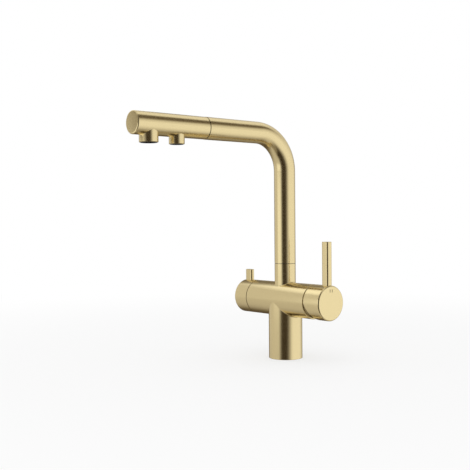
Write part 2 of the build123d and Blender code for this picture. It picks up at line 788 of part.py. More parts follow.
spindle_start = cavity_start + 2 * filter_disc_thickness + disc_film
with BuildPart() as filter_spindle:
    with BuildSketch(facing_left(spindle_start)):
        Circle(spindle_flange_diameter / 2)
    extrude(amount=spindle_flange_thickness)
    with BuildSketch(facing_left(spindle_start + spindle_flange_thickness)):
        Circle(spindle_diameter / 2)
    extrude(amount=spindle_end_reach - spindle_start - spindle_flange_thickness)
save(filter_spindle, "filter_spindle")

knob_rear = body_left_reach + knob_gap
with BuildPart() as filter_knob:
    with BuildSketch(facing_left(knob_rear)):
        Circle(body_diameter / 2)
    extrude(amount=knob_end_reach - knob_rear)
    fillet(filter_knob.faces().sort_by(Axis.X)[0].edges(), radius=knob_end_round)
    with BuildSketch(facing_left(knob_rear)):
        Circle(knob_cavity_diameter / 2)
    extrude(amount=knob_cavity_floor - knob_rear, mode=Mode.SUBTRACT)
    with BuildSketch(facing_left(knob_cavity_floor)):
        Circle(spindle_diameter / 2 + knob_bore_clearance)
    extrude(amount=spindle_end_reach + knob_bore_extra - knob_cavity_floor, mode=Mode.SUBTRACT)
    with BuildSketch(Plane.XY.offset(axis_z + filter_lever_stud_start)):
        with Locations((-filter_lever_centre_reach, 0)):
            Circle(filter_lever_stud_diameter / 2 + lever_stud_clearance)
    extrude(amount=body_diameter, mode=Mode.SUBTRACT)
    with BuildSketch(Plane.XY.offset(axis_z)):
        with Locations((-knob_screw_reach, 0)):
            Circle(knob_screw_diameter / 2 + set_screw_clearance)
    extrude(amount=-body_diameter, mode=Mode.SUBTRACT)
save(filter_knob, "filter_knob")

with BuildPart() as filter_lever:
    with BuildSketch(Plane.XY.offset(axis_z)):
        with Locations((-filter_lever_centre_reach, 0)):
            RectangleRounded(filter_lever_width, filter_lever_depth, filter_lever_corner)
    extrude(amount=filter_lever_top - axis_z)
    fillet(filter_lever.faces().sort_by(Axis.Z)[-1].edges(), radius=lever_end_round)
    with BuildSketch(facing_left(0)):
        Circle(body_diameter / 2)
    extrude(amount=knob_end_reach + edge_break, mode=Mode.SUBTRACT)
    with BuildSketch(Plane.XY.offset(axis_z + filter_lever_stud_start)):
        with Locations((-filter_lever_centre_reach, 0)):
            Circle(filter_lever_stud_diameter / 2)
    extrude(amount=body_diameter / 2 - filter_lever_stud_start + lever_end_round)
save(filter_lever, "filter_lever")

knob_set_screw = set_screw(
    -knob_screw_reach,
    axis_z - spindle_diameter / 2 - set_screw_clearance,
    knob_screw_diameter,
    knob_screw_length,
    knob_screw_hex,
    knob_screw_hex_depth,
)
save(knob_set_screw, "knob_set_screw")


# Spout: bent tube with a turned spigot in its foot
def spout_route(start_height, end_reach):
    """Centre line up the riser, round the bend and out along the arm."""
    with BuildLine(Plane.YZ) as route:
        rise = Line((0, start_height), (0, arm_height - bend_radius))
        bend = TangentArc(rise @ 1, (-bend_radius, arm_height), tangent=rise % 1)
        Line(bend @ 1, (-end_reach, arm_height))
    return route


with BuildPart() as spout_tube:
    tube_route = spout_route(tube_foot, arm_mouth_reach)
    with BuildSketch(Plane.XY.offset(tube_foot)):
        Circle(tube_diameter / 2)
        Circle(tube_bore / 2, mode=Mode.SUBTRACT)
    sweep(path=tube_route.line)
save(spout_tube, "spout_tube")

with BuildPart() as spout_spigot:
    with BuildSketch(Plane.XY.offset(spigot_foot)):
        Circle(swivel_bore / 2 - swivel_fit)
        Circle(spigot_bore / 2, mode=Mode.SUBTRACT)
    extrude(amount=tube_foot - spigot_foot)
    with BuildSketch(Plane.XY.offset(tube_foot)):
        Circle(tube_bore / 2)
        Circle(spigot_bore / 2, mode=Mode.SUBTRACT)
    extrude(amount=spigot_plug_length)
    for height in ring_heights:
        with BuildSketch(Plane.XY.offset(height - ring_groove_width / 2)):
            Circle(swivel_bore / 2)
            Circle(ring_groove_diameter / 2, mode=Mode.SUBTRACT)
        extrude(amount=ring_groove_width, mode=Mode.SUBTRACT)
    for height in slide_ring_heights:
        with BuildSketch(Plane.XY.offset(height - slide_ring_length / 2)):
            Circle(swivel_bore / 2)
            Circle(swivel_bore / 2 - slide_ring_wall - seal_clearance, mode=Mode.SUBTRACT)
        extrude(amount=slide_ring_length, mode=Mode.SUBTRACT)
    # groove for the retaining screw's nose; its ends stop the swivel
    groove_half_span = swivel_half_range + groove_side_margin
    groove_start = Vector(0, 1, 0).rotate(Axis.Z, -groove_half_span)
    with BuildSketch(Plane(origin=(0, 0, 0), x_dir=groove_start, z_dir=groove_start.cross(Vector(0, 0, 1)))):
        with BuildLine():
            Polyline(
                (retaining_groove_diameter / 2, retaining_height - retaining_groove_width / 2),
                (swivel_bore / 2 + edge_break, retaining_height - retaining_groove_width / 2),
                (swivel_bore / 2 + edge_break, retaining_height + retaining_groove_width / 2),
                (retaining_groove_diameter / 2, retaining_height + retaining_groove_width / 2),
                close=True,
            )
        make_face()
    revolve(axis=Axis.Z, revolution_arc=2 * groove_half_span, mode=Mode.SUBTRACT)
save(spout_spigot, "spout_spigot")

with BuildPart() as swivel_o_rings:
    for height in ring_heights:
        with BuildSketch(Plane.XZ):
            with Locations(((ring_groove_diameter + ring_section + seal_clearance) / 2, height)):
                Circle(ring_section / 2)
        revolve(axis=Axis.Z)
save(swivel_o_rings, "swivel_o_rings")

with BuildPart() as swivel_slide_rings:
    for height in slide_ring_heights:
        with BuildSketch(Plane.XY.offset(height - slide_ring_length / 2)):
            Circle(swivel_bore / 2 - seal_clearance)
            Circle(swivel_bore / 2 - slide_ring_wall, mode=Mode.SUBTRACT)
        extrude(amount=slide_ring_length)
save(swivel_slide_rings, "swivel_slide_rings")

# Collar in the arm's mouth, which the head's nose docks in
with BuildPart() as docking_collar:
    with BuildSketch(facing_front(arm_mouth_reach)):
        Circle(tube_bore / 2 - collar_fit)
        Circle(collar_guide_bore / 2, mode=Mode.SUBTRACT)
    extrude(amount=-collar_length)
    with BuildSketch(facing_front(arm_mouth_reach)):
        Circle(nose_diameter / 2 + nose_clearance)
    extrude(amount=-(nose_length + nose_clearance), mode=Mode.SUBTRACT)
save(docking_collar, "docking_collar")


def spout_hose_piece(outer, inner, foot):
    """Hose along the spout's centre line, up to where the head's own length begins."""
    with BuildPart() as hose:
        hose_route = spout_route(foot, hose_split_reach)
        with BuildSketch(Plane.XY.offset(foot)):
            Circle(outer / 2)
            Circle(inner / 2, mode=Mode.SUBTRACT)
        sweep(path=hose_route.line)
    return hose


spout_hose = spout_hose_piece(hose_diameter, hose_bore, hose_foot)
save(spout_hose, "spout_hose")
spout_filtered_hose = spout_hose_piece(inner_hose_diameter, inner_hose_bore, hose_foot)
save(spout_filtered_hose, "spout_filtered_hose")

with BuildPart() as hose_end_fitting:
    with BuildSketch(Plane.XY.offset(hose_foot)):
        Circle(hose_diameter / 2 + fitting_ferrule_wall)
        Circle(hose_diameter / 2 + hose_clearance, mode=Mode.SUBTRACT)
    extrude(amount=fitting_ferrule_length)
    with BuildSketch(Plane.XY.offset(hose_foot - fitting_hex_length)):
        RegularPolygon(fitting_hex / 2, 6, major_radius=False)
    extrude(amount=fitting_hex_length)
    with BuildSketch(Plane.XY.offset(hose_foot - fitting_hex_length - fitting_thread_length)):
        Circle(fitting_thread / 2)
    extrude(amount=fitting_thread_length)
    with BuildSketch(Plane.XY.offset(hose_foot)):
        Circle(hose_bore / 2)
    extrude(amount=-(fitting_hex_length + fitting_thread_length), mode=Mode.SUBTRACT)
save(hose_end_fitting, "hose_end_fitting")


# Pull-out head
with BuildPart() as head_shell:
    with BuildSketch(facing_front(head_start)):
        Circle(head_diameter / 2)
    extrude(amount=cap_start - head_start)
    for reach, diameter in (
        (main_outlet_reach, main_outlet_diameter),
        (filter_outlet_reach, filter_outlet_diameter),
    ):
        with BuildSketch(Plane.XY.offset(outlet_foot_height)):
            with Locations((0, -reach)):
                Circle(diameter / 2)
        extrude(amount=outlet_drop)
    foot_rims = head_shell.faces().filter_by(Axis.Z).sort_by(Axis.Z)[0:2].edges()
    fillet(foot_rims, radius=outlet_foot_round)
    with BuildSketch(facing_front(head_start)):
        Circle(head_bore / 2)
    extrude(amount=cap_start - head_start, mode=Mode.SUBTRACT)
    for reach, bore in (
        (main_outlet_reach, main_outlet_bore),
        (filter_outlet_reach, filter_outlet_bore),
    ):
        with BuildSketch(Plane.XY.offset(outlet_foot_height)):
            with Locations((0, -reach)):
                Circle(bore / 2)
        extrude(amount=outlet_drop, mode=Mode.SUBTRACT)
save(head_shell, "head_shell")

with BuildPart() as head_end_cap:
    with BuildSketch(facing_front(cap_start)):
        Circle(head_diameter / 2)
    extrude(amount=end_cap_thickness)
    fillet(head_end_cap.faces().sort_by(Axis.Y)[0].edges(), radius=end_cap_round)
    with BuildSketch(facing_front(cap_start - end_cap_plug_length)):
        Circle(head_bore / 2 - insert_clearance)
    extrude(amount=end_cap_plug_length)
save(head_end_cap, "head_end_cap")

with BuildPart() as head_docking_nose:
    with BuildSketch(facing_front(head_start)):
        Circle(head_bore / 2 - insert_clearance)
    extrude(amount=nose_plug_length)
    with BuildSketch(facing_front(head_start - head_seam - nose_length)):
        Circle(nose_diameter / 2)
    extrude(amount=nose_length + head_seam)
    with BuildSketch(facing_front(head_start - head_seam - nose_length)):
        Circle(nose_bore / 2)
    extrude(amount=nose_length + head_seam + nose_plug_length, mode=Mode.SUBTRACT)
save(head_docking_nose, "head_docking_nose")

hose_split_start = hose_split_reach + hose_split_gap
with BuildPart() as head_hose:
    with BuildSketch(facing_front(hose_split_start)):
        Circle(hose_diameter / 2)
        Circle(hose_bore / 2, mode=Mode.SUBTRACT)
    extrude(amount=insert_start_reach - hose_split_start)
save(head_hose, "head_hose")

inner_hose_end = insert_start_reach + inner_hose_socket_depth
with BuildPart() as head_filtered_hose:
    with BuildSketch(facing_front(hose_split_start)):
        Circle(inner_hose_diameter / 2)
        Circle(inner_hose_bore / 2, mode=Mode.SUBTRACT)
    extrude(amount=inner_hose_end - hose_split_start)
save(head_filtered_hose, "head_filtered_hose")

with BuildPart() as head_hose_ferrule:
    with BuildSketch(facing_front(insert_start_reach)):
        Circle(head_ferrule_diameter / 2)
        Circle(hose_diameter / 2 + hose_clearance, mode=Mode.SUBTRACT)
    extrude(amount=-head_ferrule_length)
save(head_hose_ferrule, "head_hose_ferrule")

# Plastic insert that keeps the mixed and the filtered water apart on their way to the outlets
insert_end = cap_start - end_cap_plug_length - insert_end_gap
socket_bore = inner_hose_diameter + 2 * hose_clearance
with BuildPart() as head_waterway:
    with BuildSketch(facing_front(insert_start_reach)):
        Circle(head_bore / 2 - insert_clearance)
    extrude(amount=insert_end - insert_start_reach)
    with BuildSketch(facing_front(insert_start_reach)):
        Circle(socket_bore / 2)
    extrude(amount=inner_hose_socket_depth + check_valve_length, mode=Mode.SUBTRACT)
    with BuildSketch(facing_front(insert_start_reach)):
        Circle(filter_way_bore / 2)
    extrude(amount=filter_outlet_reach - insert_start_reach, mode=Mode.SUBTRACT)
    with BuildSketch(facing_front(insert_start_reach)):
        with Locations((0, mixed_way_offset)):
            Circle(mixed_way_bore / 2)
    extrude(amount=main_outlet_reach - insert_start_reach, mode=Mode.SUBTRACT)
    with BuildSketch(Plane.XY.offset(arm_height)):
        with Locations((0, -filter_outlet_reach)):
            Circle(filter_drop_bore / 2)
    extrude(amount=-head_bore, mode=Mode.SUBTRACT)
    with BuildSketch(Plane.XY.offset(arm_height + mixed_way_offset)):
        with Locations((0, -main_outlet_reach)):
            Circle(mixed_drop_bore / 2)
    extrude(amount=-(mixed_way_offset + head_bore), mode=Mode.SUBTRACT)
    for reach, bore in (
        (main_outlet_reach, main_outlet_bore),
        (filter_outlet_reach, filter_outlet_bore),
    ):
        with BuildSketch(Plane.XY.offset(insert_pocket_top)):
            with Locations((0, -reach)):
                Circle(bore / 2)
        extrude(amount=-head_bore, mode=Mode.SUBTRACT)
save(head_waterway, "head_waterway")

with BuildPart() as head_check_valve:
    with BuildSketch(facing_front(inner_hose_end)):
        Circle(inner_hose_diameter / 2)
        Circle(check_valve_bore / 2, mode=Mode.SUBTRACT)
    extrude(amount=check_valve_length)
save(head_check_valve, "head_check_valve")


# Outlets: a dark housing with its lip just proud of the stub, and a perforated screen in it
outlet_lip_height = outlet_foot_height - outlet_lip_stand_out


def outlet_housing(reach, bore, inlet_bore):
    """Cup that fills an outlet's bore, open below, with an inlet in its roof."""
    with BuildPart() as housing:
        with BuildSketch(Plane.XY.offset(outlet_lip_height)):
            with Locations((0, -reach)):
                Circle(bore / 2 - insert_clearance)
        extrude(amount=insert_pocket_top - insert_clearance - outlet_lip_height)
        with BuildSketch(Plane.XY.offset(outlet_lip_height)):
            with Locations((0, -reach)):
                Circle(bore / 2 - insert_clearance - outlet_lip_wall)
        extrude(amount=insert_pocket_top - outlet_roof - outlet_lip_height, mode=Mode.SUBTRACT)
        with BuildSketch(Plane.XY.offset(outlet_lip_height)):
            with Locations((0, -reach)):
                Circle(inlet_bore / 2)
        extrude(amount=insert_pocket_top - outlet_lip_height, mode=Mode.SUBTRACT)
    return housing


def outlet_screen(reach, bore, hole, pitch, rings):
    """Screen with a centre hole and rings of holes around it."""
    screen_radius = bore / 2 - 2 * insert_clearance - outlet_lip_wall
    with BuildPart() as screen:
        with BuildSketch(Plane.XY.offset(outlet_lip_height + outlet_screen_recess)):
            with Locations((0, -reach)):
                Circle(screen_radius)
                Circle(hole / 2, mode=Mode.SUBTRACT)
                for ring in range(1, rings + 1):
                    with PolarLocations(ring * pitch, 6 * ring):
                        Circle(hole / 2, mode=Mode.SUBTRACT)
        extrude(amount=outlet_screen_thickness)
    return screen


main_aerator_housing = outlet_housing(main_outlet_reach, main_outlet_bore, main_inlet_bore)
save(main_aerator_housing, "main_aerator_housing")
main_aerator_screen = outlet_screen(
    main_outlet_reach, main_outlet_bore, main_screen_hole, main_screen_pitch, main_screen_rings
)
save(main_aerator_screen, "main_aerator_screen")
filter_outlet_housing = outlet_housing(filter_outlet_reach, filter_outlet_bore, filter_inlet_bore)
save(filter_outlet_housing, "filter_outlet_housing")
filter_outlet_screen = outlet_screen(
    filter_outlet_reach, filter_outlet_bore, filter_screen_hole, filter_screen_pitch, 1
)
save(filter_outlet_screen, "filter_outlet_screen")
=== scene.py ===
import json
import math
import bpy
import bmesh
from mathutils import Matrix, Vector


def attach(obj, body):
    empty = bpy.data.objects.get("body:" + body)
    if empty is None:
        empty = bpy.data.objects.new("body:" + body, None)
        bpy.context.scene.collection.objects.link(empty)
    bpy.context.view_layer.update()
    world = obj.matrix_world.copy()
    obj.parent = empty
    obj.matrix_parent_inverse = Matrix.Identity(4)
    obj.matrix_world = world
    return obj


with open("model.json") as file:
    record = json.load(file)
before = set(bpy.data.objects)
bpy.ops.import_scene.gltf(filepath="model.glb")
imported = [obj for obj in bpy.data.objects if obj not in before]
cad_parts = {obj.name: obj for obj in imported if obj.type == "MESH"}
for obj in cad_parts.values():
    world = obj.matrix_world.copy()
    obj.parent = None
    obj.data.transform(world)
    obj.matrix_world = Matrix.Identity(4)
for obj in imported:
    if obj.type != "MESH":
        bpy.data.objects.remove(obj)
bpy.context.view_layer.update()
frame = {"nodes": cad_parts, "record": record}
nodes = frame["nodes"]
print("frame loaded:", len(nodes), "pieces")


# small helpers for shader trees

def newMaterial(name):
    material = bpy.data.materials.new(name)
    material.use_nodes = True
    material.node_tree.nodes.clear()
    return material, material.node_tree


def addNode(tree, kind, **settings):
    node = tree.nodes.new(kind)
    for key, value in settings.items():
        setattr(node, key, value)
    return node


def wire(tree, source, target):
    tree.links.new(source, target)


def mathNode(tree, operation, first, second=None):
    # one operation on sockets or plain numbers
    node = addNode(tree, "ShaderNodeMath", operation=operation)
    for index, value in enumerate((first, second)):
        if value is None:
            continue
        if isinstance(value, (int, float)):
            node.inputs[index].default_value = value
        else:
            wire(tree, value, node.inputs[index])
    return node.outputs[0]


def product(tree, first, second):
    return mathNode(tree, "MULTIPLY", first, second)


def splitVector(tree, vector):
    node = addNode(tree, "ShaderNodeSeparateXYZ")
    wire(tree, vector, node.inputs[0])
    return node.outputs


def joinVector(tree, *parts):
    node = addNode(tree, "ShaderNodeCombineXYZ")
    for index, part in enumerate(parts):
        wire(tree, part, node.inputs[index])
    return node.outputs[0]


def rampNode(tree, value, fromLow, fromHigh, toLow=0.0, toHigh=1.0):
    # a soft step from toLow to toHigh
    node = addNode(tree, "ShaderNodeMapRange", interpolation_type="SMOOTHSTEP")
    wire(tree, value, node.inputs["Value"])
    node.inputs["From Min"].default_value = fromLow
    node.inputs["From Max"].default_value = fromHigh
    node.inputs["To Min"].default_value = toLow
    node.inputs["To Max"].default_value = toHigh
    return node.outputs["Result"]


# the camera stands where the photograph was taken from
cameraView = {
    "place": (0.79231, -0.72409, 0.17938),
    "forward": (-0.7785, 0.6275, -0.01438),
    "rollDegrees": -0.446,
    "lens": 61.58,
    "sensor": 36.0,
    "clipping": (0.01, 60.0),
}


def makeCamera(spec):
    data = bpy.data.cameras.new("camera")
    data.lens = spec["lens"]
    data.sensor_width = spec["sensor"]
    data.clip_start, data.clip_end = spec["clipping"]
    camera = bpy.data.objects.new("camera", data)
    bpy.context.scene.collection.objects.link(camera)
    forward = Vector(spec["forward"]).normalized()
    right = forward.cross(Vector((0, 0, 1))).normalized()
    up = right.cross(forward)
    roll = math.radians(spec["rollDegrees"])
    rolledRight = right * math.cos(roll) + up * math.sin(roll)
    rolledUp = -right * math.sin(roll) + up * math.cos(roll)
    turn = Matrix((rolledRight, rolledUp, -forward)).transposed()
    camera.matrix_world = Matrix.Translation(spec["place"]) @ turn.to_4x4()
    bpy.context.scene.camera = camera


makeCamera(cameraView)
bpy.context.scene.view_settings.view_transform = "Standard"
print("camera placed")


# the studio has light and dark cards all round, a floor of white paper and one large lamp
studio = {
    "floorRadius": 9.0,
    "floorSides": 96,
    "floorColour": (0.84, 0.84, 0.84, 1.0),
    "paperRadius": (0.25, 1.1),  # where the paper starts and ends fading into the backdrop
    "paperLift": 0.65,  # how much of the backdrop's white it has at the tap
    "daylight": 0.95,
    "roomLevel": 0.65,  # what the metal mirrors where there is no card
    "tints": ((0.05, (1.0, 0.72, 0.46, 1.0)), (0.2, (1.0, 0.86, 0.62, 1.0)),
              (0.4, (1.0, 0.93, 0.85, 1.0)), (0.65, (1.0, 0.965, 0.91, 1.0)),
              (1.0, (1.0, 0.995, 0.98, 1.0))),
    "lampEnergy": 5.0,
    "lampSize": 1.6,
    "lampPlace": (0.5, -0.9, 1.9),
    "lampAim": (0.0, -0.05, 0.1),
}
white = (1.0, 1.0, 1.0, 1.0)

# far cards that only the metal mirrors, each in front of those before it, in degrees, where 0 is
# +X and 90 is +Y; around and height are the middles of the soft edges, soft is half their width
cards = [
    # wall over the strip lamp
    {"around": (-122.0, -70.0), "aroundSoft": (6.0, 10.0),
     "height": (1.0, 22.0), "heightSoft": (2.0, 8.0), "level": 0.36},
    # low wall straight behind
    {"around": (104.0, 146.0), "aroundSoft": (14.0, 8.0),
     "height": (-14.0, 12.0), "heightSoft": (6.0, 6.0), "level": 0.30},
    # back left wall
    {"around": (138.0, 172.0), "aroundSoft": (8.0, 8.0),
     "height": (-14.0, 40.0), "heightSoft": (6.0, 6.0), "level": 0.17},
    # table at the left
    {"around": (-172.0, -95.0), "aroundSoft": (18.0, 10.0),
     "height": (-90.0, -9.0), "heightSoft": (1.0, 5.0), "level": 0.58},
    # table behind
    {"around": (62.0, 128.0), "aroundSoft": (22.0, 14.0),
     "height": (-90.0, -16.0), "heightSoft": (1.0, 8.0), "level": 0.30},
    # table's far left corner
    {"around": (128.0, 187.0), "aroundSoft": (14.0, 32.0),
     "height": (-90.0, -13.0), "heightSoft": (1.0, 9.0), "level": 0.11},
    # table in front
    {"around": (-95.0, 15.0), "aroundSoft": (20.0, 25.0),
     "height": (-90.0, -42.0), "heightSoft": (1.0, 10.0), "level": 0.28},
    # right wall
    {"around": (-10.0, 82.0), "aroundSoft": (24.0, 14.0),
     "height": (-38.0, 15.0), "heightSoft": (16.0, 12.0), "level": 0.93},
    # back ceiling card
    {"around": (76.0, 128.0), "aroundSoft": (4.0, 10.0),
     "height": (40.0, 75.0), "heightSoft": (8.0, 10.0), "level": 0.86},
    # dark gap over the right wall
    {"around": (20.0, 71.0), "aroundSoft": (10.0, 7.0),
     "height": (29.0, 64.0), "heightSoft": (9.0, 6.0), "level": 0.11},
]

# near cards stand close enough that each piece mirrors another part of them; levels are those
# of the card's lower and upper part, and fade is where the one turns into the other
nearCards = [
    {"name": "ceilingCard", "place": (-0.34, -0.12, 0.46), "faces": (0.0, 0.0, 0.08),
     "size": (0.30, 0.24), "levels": (0.50, 1.10), "fade": (-0.14, 0.0)},
    {"name": "spoutFlag", "place": (-0.16, -0.448, 0.378), "faces": (0.0, -0.235, 0.29),
     "size": (0.22, 0.15), "levels": (0.21, 0.21), "fade": (-0.14, 0.0)},
]

# upright arcs about the tap, in degrees and metres; each fade is where that edge comes in or ends
arcs = [
    {"name": "stripLamp", "radius": 0.66, "around": (-142.0, -56.0), "height": (-0.2, 0.5),
     "firstFade": (-134.0, -121.0), "lastFade": (-77.0, -57.0),
     "lowFade": (-0.03, 0.07), "highFade": (0.285, 0.345),
     "level": 1.0, "tint": (1.0, 0.995, 0.98, 1.0)},
    {"name": "cameraFlag", "radius": 0.61, "around": (-112.0, 22.0), "height": (-0.9, 1.5),
     "firstFade": (-95.0, -65.0), "lastFade": (-38.0, 8.0),
     "lowFade": (-0.85, -0.5), "highFade": (1.1, 1.45),
     "level": 0.042, "tint": (1.0, 0.72, 0.44, 1.0)},
]
stepsPerArc = 48  # straight pieces that each arc is made of


def azimuthOf(tree, place):
    return mathNode(tree, "DEGREES", mathNode(tree, "ARCTAN2", place["Y"], place["X"]))


def directionOf(tree):
    # where a ray goes, in degrees round the tap and above the horizon
    coords = addNode(tree, "ShaderNodeTexCoord")
    ray = splitVector(tree, coords.outputs["Generated"])
    height = mathNode(tree, "DEGREES", mathNode(tree, "ARCSINE", ray["Z"]))
    return azimuthOf(tree, ray), height


def cardMask(tree, around, height, card):
    # 1 on the card, 0 off it, with soft edges
    first, last = card["around"]
    middle = (first + last) / 2
    reach = (last - first) / 2
    shifted = mathNode(tree, "SUBTRACT", around, middle - 180.0)
    wrapped = mathNode(tree, "FLOORED_MODULO", shifted, 360.0)
    offset = mathNode(tree, "SUBTRACT", wrapped, 180.0)
    softFirst, softLast = card["aroundSoft"]
    softLow, softHigh = card["heightSoft"]
    low, high = card["height"]
    onFirst = rampNode(tree, offset, -reach - softFirst, -reach + softFirst)
    onLast = rampNode(tree, offset, reach - softLast, reach + softLast, 1.0, 0.0)
    onLow = rampNode(tree, height, low - softLow, low + softLow)
    onHigh = rampNode(tree, height, high - softHigh, high + softHigh, 1.0, 0.0)
    return product(tree, product(tree, onFirst, onLast), product(tree, onLow, onHigh))


def background(tree, colour, strength):
    node = addNode(tree, "ShaderNodeBackground")
    node.inputs["Color"].default_value = colour
    node.inputs["Strength"].default_value = strength
    return node


def tintOf(tree, level, tints):
    # dim cards are warmer than bright ones
    ramp = addNode(tree, "ShaderNodeValToRGB")
    stops = ramp.color_ramp.elements
    while len(stops) < len(tints):
        stops.new(0.5)
    for stop, (position, colour) in zip(stops, tints):
        stop.position = position
        stop.color = colour
    wire(tree, level, ramp.inputs["Fac"])
    return ramp.outputs["Color"]


def makeWorld(spec):
    world = bpy.data.worlds.new("studio")
    bpy.context.scene.world = world
    world.use_nodes = True
    tree = world.node_tree
    tree.nodes.clear()
    around, height = directionOf(tree)
    level = None
    for card in cards:
        step = addNode(tree, "ShaderNodeMix", data_type="FLOAT")
        wire(tree, cardMask(tree, around, height, card), step.inputs["Factor"])
        if level is None:
            step.inputs["A"].default_value = spec["roomLevel"]
        else:
            wire(tree, level, step.inputs["A"])
        step.inputs["B"].default_value = card["level"]
        level = step.outputs["Result"]
    mirrored = background(tree, white, 1.0)
    wire(tree, tintOf(tree, level, spec["tints"]), mirrored.inputs["Color"])
    wire(tree, level, mirrored.inputs["Strength"])
    plain = background(tree, white, spec["daylight"])
    backdrop = background(tree, white, 1.0)
    # gloss sees the cards, the lens and glass see white, all else is plain daylight
    path = addNode(tree, "ShaderNodeLightPath")
    glossOrPlain = addNode(tree, "ShaderNodeMixShader")
    wire(tree, path.outputs["Is Glossy Ray"], glossOrPlain.inputs[0])
    wire(tree, plain.outputs[0], glossOrPlain.inputs[1])
    wire(tree, mirrored.outputs[0], glossOrPlain.inputs[2])
    lensOrRest = addNode(tree, "ShaderNodeMixShader")
    lens, glass = path.outputs["Is Camera Ray"], path.outputs["Is Transmission Ray"]
    wire(tree, mathNode(tree, "MAXIMUM", lens, glass), lensOrRest.inputs[0])
    wire(tree, glossOrPlain.outputs[0], lensOrRest.inputs[1])
    wire(tree, backdrop.outputs[0], lensOrRest.inputs[2])
    output = addNode(tree, "ShaderNodeOutputWorld")
    wire(tree, lensOrRest.outputs[0], output.inputs["Surface"])


def makeFloor(spec):
    # white paper, which fades into the white backdrop away from the tap
    mesh = bpy.data.meshes.new("floor")
    form = bmesh.new()
    bmesh.ops.create_circle(form, cap_ends=True, segments=spec["floorSides"],
                            radius=spec["floorRadius"])
    form.to_mesh(mesh)
    form.free()
    floor = bpy.data.objects.new("floor", mesh)
    bpy.context.scene.collection.objects.link(floor)
    material, tree = newMaterial("paleFloor")
    path = addNode(tree, "ShaderNodeLightPath")
    coords = addNode(tree, "ShaderNodeTexCoord")
    span = addNode(tree, "ShaderNodeVectorMath", operation="LENGTH")
    wire(tree, coords.outputs["Object"], span.inputs[0])
    paper = addNode(tree, "ShaderNodeBsdfDiffuse")
    paper.inputs["Color"].default_value = spec["floorColour"]
    glow = addNode(tree, "ShaderNodeEmission")
    glow.inputs["Color"].default_value = white
    glow.inputs["Strength"].default_value = 1.0
    far = rampNode(tree, span.outputs["Value"], *spec["paperRadius"], spec["paperLift"], 1.0)
    blend = addNode(tree, "ShaderNodeMixShader")
    wire(tree, product(tree, far, path.outputs["Is Camera Ray"]), blend.inputs[0])
    wire(tree, paper.outputs[0], blend.inputs[1])
    wire(tree, glow.outputs[0], blend.inputs[2])
    # the paper is one-sided, so the tap's foot can be looked at from below
    side = addNode(tree, "ShaderNodeNewGeometry")
    clear = addNode(tree, "ShaderNodeBsdfTransparent")
    oneSided = addNode(tree, "ShaderNodeMixShader")
    wire(tree, side.outputs["Backfacing"], oneSided.inputs[0])
    wire(tree, blend.outputs[0], oneSided.inputs[1])
    wire(tree, clear.outputs[0], oneSided.inputs[2])
    output = addNode(tree, "ShaderNodeOutputMaterial")
    wire(tree, oneSided.outputs[0], output.inputs["Surface"])
    mesh.materials.append(material)
    # the metal mirrors the cards right down to the floor
    floor.visible_glossy = False


def makeLamp(spec):
    data = bpy.data.lights.new("overheadSoftbox", "AREA")
    data.shape = "DISK"
    data.size = spec["lampSize"]
    data.energy = spec["lampEnergy"]
    lamp = bpy.data.objects.new("overheadSoftbox", data)
    lamp.location = spec["lampPlace"]
    aim = Vector(spec["lampAim"]) - Vector(spec["lampPlace"])
    lamp.rotation_euler = aim.to_track_quat("-Z", "Y").to_euler()
    lamp.visible_camera = False
    lamp.visible_glossy = False
    bpy.context.scene.collection.objects.link(lamp)


def showToGlossOnly(thing):
    for ray in ("camera", "diffuse", "transmission", "volume_scatter", "shadow"):
        setattr(thing, "visible_" + ray, False)


def makeNearCard(spec):
    # a glowing card that only gloss sees
    wide, tall = spec["size"]
    mesh = bpy.data.meshes.new(spec["name"])
    form = bmesh.new()
    bmesh.ops.create_grid(form, x_segments=2, y_segments=2, size=0.5)
    bmesh.ops.scale(form, vec=(wide, tall, 1.0), verts=form.verts)
    form.to_mesh(mesh)
    form.free()
    card = bpy.data.objects.new(spec["name"], mesh)
    bpy.context.scene.collection.objects.link(card)
    card.location = spec["place"]
    aim = Vector(spec["faces"]) - Vector(spec["place"])
    card.rotation_euler = aim.to_track_quat("Z", "Y").to_euler()
    material, tree = newMaterial(spec["name"])
    coords = addNode(tree, "ShaderNodeTexCoord")
    place = splitVector(tree, coords.outputs["Object"])
    level = rampNode(tree, place["Y"], *spec["fade"], *spec["levels"])
    glow = addNode(tree, "ShaderNodeEmission")
    wire(tree, tintOf(tree, level, studio["tints"]), glow.inputs["Color"])
    wire(tree, level, glow.inputs["Strength"])
    output = addNode(tree, "ShaderNodeOutputMaterial")
    wire(tree, glow.outputs[0], output.inputs["Surface"])
    mesh.materials.append(material)
    showToGlossOnly(card)


